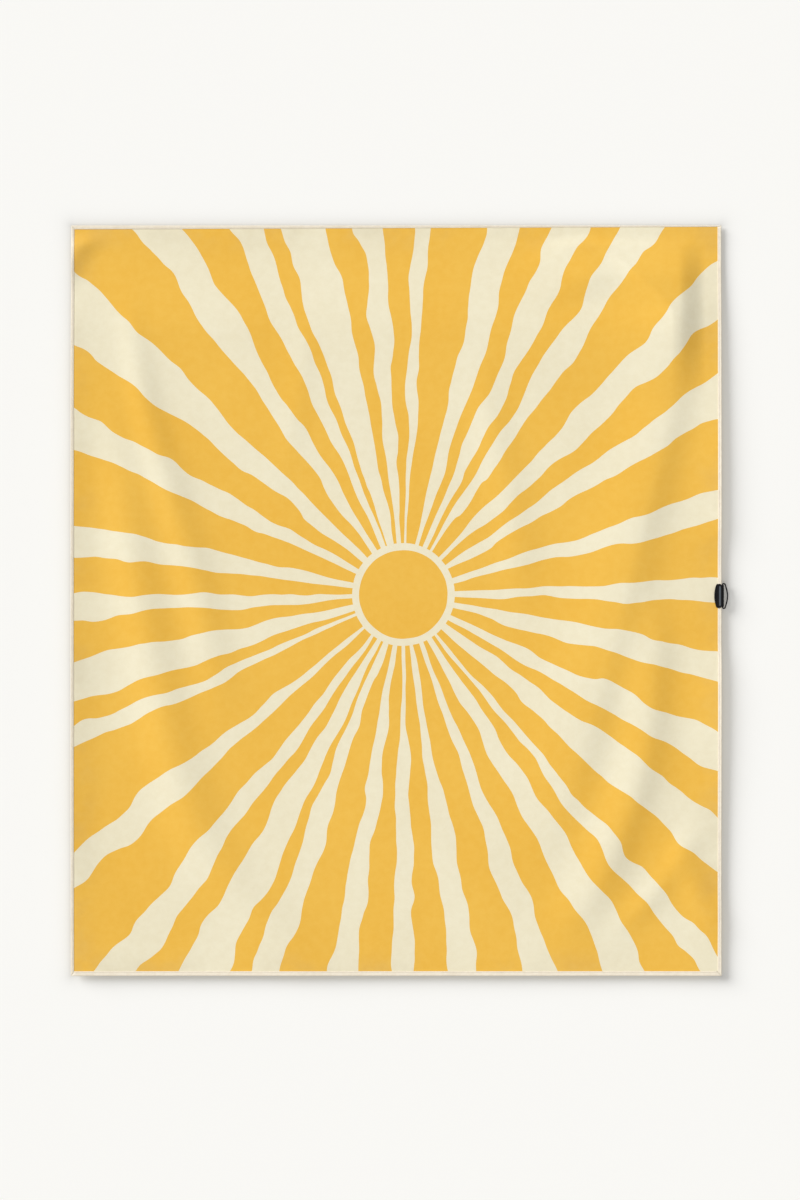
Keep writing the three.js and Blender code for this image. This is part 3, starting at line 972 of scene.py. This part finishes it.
def pocket_patch():
    """The patch and its hem, which turns over at the mouth and lies on the back of the patch."""
    across = np.linspace(0, 1, POCKET_COLUMNS)
    half_thick = POCKET_THICKNESS / 2
    patch_reach = POCKET_REACH * (1 - np.linspace(POCKET_TIP, 1, POCKET_ROWS))
    patch_reach[-1] = half_thick
    hem_reach = np.linspace(half_thick, POCKET_HEM_WIDTH, HEM_ROWS)
    turn = np.array(HEM_TURN) * math.pi
    reach = np.concatenate([patch_reach, half_thick - half_thick * np.sin(turn), hem_reach])
    first_lift = POCKET_FRONT - half_thick
    patch_lift = np.full(POCKET_ROWS, first_lift)
    turn_lift = first_lift - half_thick * (1 - np.cos(turn))
    hem_lift = np.full(HEM_ROWS, first_lift - POCKET_THICKNESS)
    lift = np.concatenate([patch_lift, turn_lift, hem_lift])
    sag = np.sin(np.clip(reach / POCKET_REACH, 0, 1) * math.pi) ** 2
    grid_across, grid_reach = np.meshgrid(across, reach)
    place = mouth_point(grid_across, grid_reach)
    x, z = place[..., 0], place[..., 1]
    sides = np.sin(math.pi * grid_across) ** 2
    slack = POCKET_SAG * sag[:, None] * sides + pocket_waves(x, z, sides)
    points = cloth_point(x, z, lift[:, None] - slack).reshape(-1, 3)
    uv = np.stack([x, z], axis=-1).reshape(-1, 2)
    faces = [face[::-1] for face in grid_faces(len(reach), POCKET_COLUMNS)]
    piece = new_piece("pocket_patch", points, faces, [pocket_finish], "cloth", uv)
    return thicken(piece, POCKET_THICKNESS * POCKET_BODY)


def pocket_stitches():
    across = np.linspace(0.02, 0.98, 60)
    place = mouth_point(across, np.full(len(across), HEM_SEAM_INSET))
    x, z = place[..., 0], place[..., 1]
    slack = pocket_waves(x, z, np.sin(math.pi * across) ** 2)
    lift = POCKET_BACK - POCKET_THICKNESS - HEM_THREAD_LIFT - slack
    row = cloth_point(x, z, lift)
    made = stitch_row([row], BACK, SEAM_PITCH, SEAM_THREAD_RADIUS, 3, seam_thread_finish)
    return joined("pocket_hem_stitches", [made], seam_thread_finish)


pocket = pocket_patch()
pocket_seam = pocket_stitches()

# ---------- the tab ----------
TAB_Y = -BINDING_HALF - HANG_OUT
FOLD_INNER = BINDING_HALF + TAB_GAP
FOLD_MIDDLE = FOLD_INNER + WEBBING_THICKNESS / 2
TAB_HALF = TAB_DEPTH / 2
FOLD_HALF = LOOP_STRAIGHT / 2 - FOLD_END_CLEARANCE
TAB_CORNER = 2.6 * MM
TAB_LEAF_COLUMNS = 11
TAB_FOLD_COLUMNS = 15
TAB_END_ROWS = 7
TAB_FOLD_ROWS = 37
TAB_BODY = 0.96  # of the webbing's thickness, which leaves the cord its room in the fold
TAB_STITCH_PITCH = 2.7 * MM
TAB_THREAD_RADIUS = 0.24 * MM
TAB_THREAD_LIFT = 0.04 * MM
TAB_ROW_SHORTER = 0.6 * MM
TAB_ROW_CORNER = 1.2 * MM


def tab_piece():
    """Webbing folded round the blanket's edge: two barrel-edged leaves and the fold between."""
    up = np.concatenate(
        [
            np.linspace(-TAB_HALF, -FOLD_HALF, TAB_END_ROWS)[:-1],
            np.linspace(-FOLD_HALF, FOLD_HALF, TAB_FOLD_ROWS),
            np.linspace(FOLD_HALF, TAB_HALF, TAB_END_ROWS)[1:],
        ]
    )
    bow = 1 - (up / TAB_HALF) ** 2
    inner = EDGE_FROM_AXIS + TAB_END_OVERLAP + (TAB_OVERLAP - TAB_END_OVERLAP) * bow
    past_corner = np.clip(np.abs(up) - (TAB_HALF - TAB_CORNER), 0, TAB_CORNER)
    inner = inner - (TAB_CORNER - np.sqrt(TAB_CORNER**2 - past_corner**2))
    outer = EDGE_FROM_AXIS + np.clip(np.abs(up) - FOLD_HALF, 0, None)
    share = np.linspace(0, 1, TAB_LEAF_COLUMNS)
    leaf_x = -(inner[:, None] + (outer - inner)[:, None] * share)
    turn = np.linspace(0, math.pi, TAB_FOLD_COLUMNS)
    rows, columns = len(up), 2 * TAB_LEAF_COLUMNS + TAB_FOLD_COLUMNS
    fold_x = np.tile(FOLD_MIDDLE * np.sin(turn), (rows, 1))
    fold_round = np.tile((turn - math.pi / 2) * FOLD_MIDDLE, (rows, 1))
    flat = np.full(TAB_LEAF_COLUMNS, FOLD_MIDDLE)
    lift = np.concatenate([flat, FOLD_MIDDLE * np.cos(turn), -flat])
    quarter = math.pi * FOLD_MIDDLE / 2
    x = np.hstack([leaf_x, fold_x, leaf_x[:, ::-1]])
    y = TAB_Y - lift + np.zeros(x.shape)
    z = up[:, None] + np.zeros(x.shape)
    round_edge = np.hstack([leaf_x - quarter, fold_round, quarter - leaf_x[:, ::-1]])
    points = np.stack([LOOP_AXIS_X + x, y, TAB_MIDDLE_Z + z], axis=-1).reshape(-1, 3)
    uv = np.stack([round_edge, z], axis=-1).reshape(-1, 2)
    faces = []
    for face in grid_faces(rows, columns):
        row, column = divmod(face[0], columns)
        on_fold = TAB_LEAF_COLUMNS - 1 <= column < TAB_LEAF_COLUMNS + TAB_FOLD_COLUMNS
        beside_fold = min(abs(up[row]), abs(up[row + 1])) >= FOLD_HALF - 1e-9
        if not (on_fold and beside_fold):
            faces.append(face)
    used = sorted({k for face in faces for k in face})
    place = {k: n for n, k in enumerate(used)}
    faces = [tuple(place[k] for k in face) for face in faces]
    piece = new_piece("edge_tab", points[used], faces, [webbing_finish], "tape", uv[used])
    return thicken(piece, WEBBING_THICKNESS * TAB_BODY)


def tab_stitches(facing, name):
    """A closed row of stitches, a little rounded at its corners."""
    right = -EDGE_FROM_AXIS - TAB_STITCH_INSET
    left = right - TAB_STITCH_WIDTH
    end = TAB_HALF - TAB_STITCH_INSET - TAB_ROW_SHORTER
    cut = TAB_ROW_CORNER
    outline = [
        (left + cut, -end), (right - cut, -end), (right, -end + cut), (right, end - cut),
        (right - cut, end), (left + cut, end), (left, end - cut), (left, -end + cut),
    ]  # fmt: skip
    lift = WEBBING_THICKNESS / 2 + FOLD_MIDDLE + TAB_THREAD_LIFT
    row = [(LOOP_AXIS_X + x, TAB_Y + facing * lift, TAB_MIDDLE_Z + z) for x, z in outline]
    sizes = (TAB_STITCH_PITCH, TAB_THREAD_RADIUS)
    made = stitch_row([row], facing, *sizes, 7 + facing, tab_thread_finish, closed=True)
    return joined(name, [made], tab_thread_finish)


tab = tab_piece()
tab_front_stitches = tab_stitches(FRONT, "tab_front_stitches")
tab_back_stitches = tab_stitches(BACK, "tab_back_stitches")

# ---------- the loop ----------
CORD_RINGS = 220
CORD_SIDES = 18
LOOP_POINTS = 900


def loop_line():
    """The cord's middle: a straight side in the tab's fold, two bends and a bowed side."""
    half = LOOP_STRAIGHT / 2
    bow_from = 2 * LOOP_BEND_RADIUS
    bow_to = SIDE_EDGE + LOOP_REACH - CORD_DIAMETER / 2 - LOOP_AXIS_X

    def straight(share):
        return (0, half * share)

    def bowed(share):
        return (bow_from + (bow_to - bow_from) * math.cos(share * math.pi / 2), half * share)

    def bend(eighths):
        side = math.copysign(1, eighths)
        angle = eighths * math.pi / 4
        return (
            LOOP_BEND_RADIUS * (1 + math.cos(angle)),
            half * side + LOOP_BEND_RADIUS * math.sin(angle),
        )

    corners = [straight(s) for s in (0, 0.5, 0.9)]
    corners += [bend(e) for e in (4, 3, 2, 1)]
    corners += [bowed(s) for s in (1, 0.6, 0.3, 0, -0.3, -0.6, -1)]
    corners += [bend(e) for e in (-1, -2, -3, -4)]
    corners += [straight(s) for s in (-0.9, -0.5)]
    # The line overlaps itself on the straight side, and is cut at the middle of that side.
    turns = smooth_line(corners[-3:] + corners + corners[:4], LOOP_POINTS)
    half_way = LOOP_POINTS // 2
    starts = [np.argmin(np.hypot(turns[k:, 0], turns[k:, 1])) + k for k in (0, half_way)]
    once = turns[starts[0] : starts[1] + 1]
    steps = np.concatenate([[0], np.cumsum(np.hypot(*np.diff(once, axis=0).T))])
    wanted = np.linspace(0, steps[-1], CORD_RINGS + 1)[:-1]
    line = np.column_stack([np.interp(wanted, steps, column) for column in once.T])
    return line, steps[-1]


def loop_piece():
    line, length = loop_line()
    ahead = np.roll(line, -1, axis=0) - np.roll(line, 1, axis=0)
    ahead /= np.linalg.norm(ahead, axis=1)[:, None]
    outward = np.column_stack([ahead[:, 1], -ahead[:, 0]])
    angle = np.arange(CORD_SIDES) * (2 * math.pi / CORD_SIDES)
    radius = CORD_DIAMETER / 2
    across = radius * np.cos(angle)
    x = LOOP_AXIS_X + line[:, :1] + outward[:, :1] * across
    y = TAB_Y + radius * np.sin(angle) + np.zeros(x.shape)
    z = TAB_MIDDLE_Z + line[:, 1:] + outward[:, 1:] * across
    points = np.stack([x, y, z], axis=-1).reshape(-1, 3)
    faces = grid_faces(CORD_RINGS, CORD_SIDES, round_rows=True, round_columns=True)
    uv = []
    for face in faces:
        ring, side = divmod(face[0], CORD_SIDES)
        here, there = ring / CORD_RINGS * length, (ring + 1) / CORD_RINGS * length
        low, high = side / CORD_SIDES, (side + 1) / CORD_SIDES
        uv += [(low, here), (high, here), (high, there), (low, there)]
    return new_piece("elastic_cord_loop", points, faces, [loop_finish], "cord", uv)


loop = loop_piece()

# ---------- what rides on what ----------
BODY_PIECES = [
    (printed_face, "blanket", "printed_cloth", "face_panel"),
    (pocket, "blanket", "pocket_cloth", "corner_pocket"),
    (pocket_seam, "blanket", "seam_thread", "pocket_seam"),
    (tab, "blanket", "webbing", "loop_tab"),
    (tab_front_stitches, "blanket", "tab_thread", "tab_stitching_front"),
    (tab_back_stitches, "blanket", "tab_thread", "tab_stitching_back"),
    (loop, "loop", "loop_cord", "elastic_loop"),
]
for side in SIDES:
    BODY_PIECES.append((bindings[side], "blanket", "binding_tape", f"binding_{side}"))
    BODY_PIECES.append((seams[side], "blanket", "seam_thread", f"binding_seam_{side}"))
for piece, body, slot, node in BODY_PIECES:
    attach(piece, body)
    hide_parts(node)

# ---------- wall, floor and light ----------
WALL_BEHIND = 0.0065
WALL = (0.94, 0.933, 0.905)
# WALL_SHADE and CONTACT_SHADE are painted shade: the wall's colour darkens close round the
# blanket where its contact shade falls.
WALL_SHADE = (0.58, 0.575, 0.56)
FLOOR = (0.8, 0.79, 0.77)
CONTACT_REACH = 0.011  # how far the shade close to the cloth reaches over the wall
CONTACT_SHADE = 0.72
SKY = (1.0, 0.997, 0.99)
SKY_STRENGTH = 0.4
BACKGROUND_STRENGTH = 0.9
# Each soft light: where it shines from, how wide it looks in degrees, and its strength.
LIGHTS = {
    "key": ((-1.65, -1.0, 1.08), 36, 2.85),
    "front_fill": ((0.08, -1.0, -0.22), 40, 0.65),
    "back_fill": ((0.5, 1.0, 0.5), 40, 1.4),
}


def stage_plane(name, corners, finish):
    plane = new_piece(name, corners, [(0, 1, 2, 3)], [finish])
    return plane


def plain_stage(name, colour):
    finish = Finish(name, 0.95, 0, 0.1)
    finish.set("Base Color", colour)
    return finish


def wall_surface():
    """A plain wall, painted a little darker close round the blanket as shade, and clear from
    behind.
    """
    finish = plain_stage("pale_wall", WALL)
    x, _, z = finish.parts(finish.place())
    beside = (abs(x) - SIDE_EDGE).most(0)
    above = (abs(z - MIDDLE_HEIGHT) - BLANKET_LENGTH / 2).most(0)
    away = (beside * beside + above * above).root()
    nearness = finish.maths("EXPONENT", away * (-1 / CONTACT_REACH))
    finish.set("Base Color", finish.blend(nearness * CONTACT_SHADE, WALL, WALL_SHADE))
    behind = finish.node("ShaderNodeNewGeometry", None, None, "Backfacing")
    front = Value(finish, finish.shader.outputs[0])
    clear = finish.node("ShaderNodeBsdfTransparent")
    both = finish.node("ShaderNodeMixShader", None, {0: behind, 1: front, 2: clear})
    finish.feed(finish.nodes["Material Output"].inputs["Surface"], both)
    return finish.material


FLOOR_HEIGHT = -2.05
ROOM = 6
WALL_HEIGHTS = (FLOOR_HEIGHT, FLOOR_HEIGHT, ROOM, ROOM)
ROUND_ROOM = [(-ROOM, -ROOM), (ROOM, -ROOM), (ROOM, ROOM), (-ROOM, ROOM)]
wall_corners = [(x, WALL_BEHIND, z) for (x, _), z in zip(ROUND_ROOM, WALL_HEIGHTS)]
floor_corners = [(x, y, FLOOR_HEIGHT) for x, y in ROUND_ROOM]
wall = stage_plane("wall", wall_corners, wall_surface())
floor = stage_plane("floor", floor_corners, plain_stage("pale_floor", FLOOR).material)

for surface in (wall, floor):
    surface.visible_diffuse = False
    surface.visible_glossy = False
    surface.visible_transmission = False
    surface.visible_shadow = False

world = bpy.data.worlds.new("studio")
scene.world = world
world.use_nodes = True
studio = Graph(world.node_tree)
sky, backdrop = [
    studio.node("ShaderNodeBackground", None, {"Color": SKY, "Strength": strength})
    for strength in (SKY_STRENGTH, BACKGROUND_STRENGTH)
]
looked_at = studio.node("ShaderNodeLightPath", None, None, "Is Camera Ray")
seen = studio.node("ShaderNodeMixShader", None, {0: looked_at, 1: sky, 2: backdrop})
studio.feed(studio.nodes["World Output"].inputs["Surface"], seen)

for name, (place, width, strength) in LIGHTS.items():
    lamp = bpy.data.lights.new(name, "SUN")
    lamp.angle = math.radians(width)
    lamp.energy = strength
    light = bpy.data.objects.new(name, lamp)
    light.location = place
    light.rotation_euler = (-Vector(place)).to_track_quat("-Z", "Y").to_euler()
    scene.collection.objects.link(light)
scene.view_settings.view_transform = "Standard"
